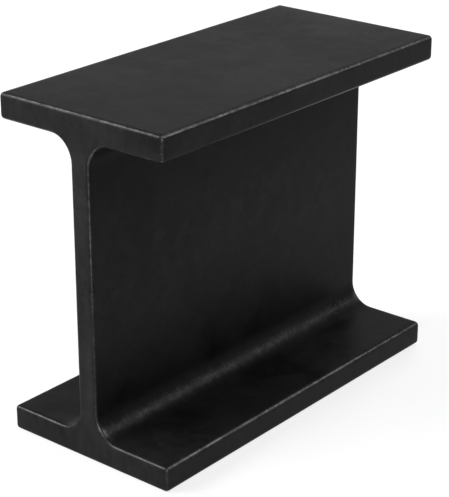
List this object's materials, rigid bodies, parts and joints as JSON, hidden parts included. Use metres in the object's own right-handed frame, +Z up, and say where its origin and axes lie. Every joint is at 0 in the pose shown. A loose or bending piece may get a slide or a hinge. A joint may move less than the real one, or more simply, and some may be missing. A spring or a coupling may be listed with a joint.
{
  "type": "steel i-beam stub",
  "caption": "Short square-cut stub of hot-rolled steel I-beam with equal parallel flanges, a thick web, root fillets and rounded edges.",
  "frame": {"origin": "middle of the lower flange's underside, on the floor", "axes": "+Z up, from the lower flange to the upper; Y along the beam, with one sawn end at -Y and the other at +Y; X across the flanges"},
  "size_m": [0.115, 0.24, 0.2],
  "materials": {
    "rolled_steel": "dark matt mill surface, fine grained, with bare metal worn bright along the edges"
  },
  "bodies": {
    "root": {"i_beam": "rolled_steel"}
  },
  "joints": []
}
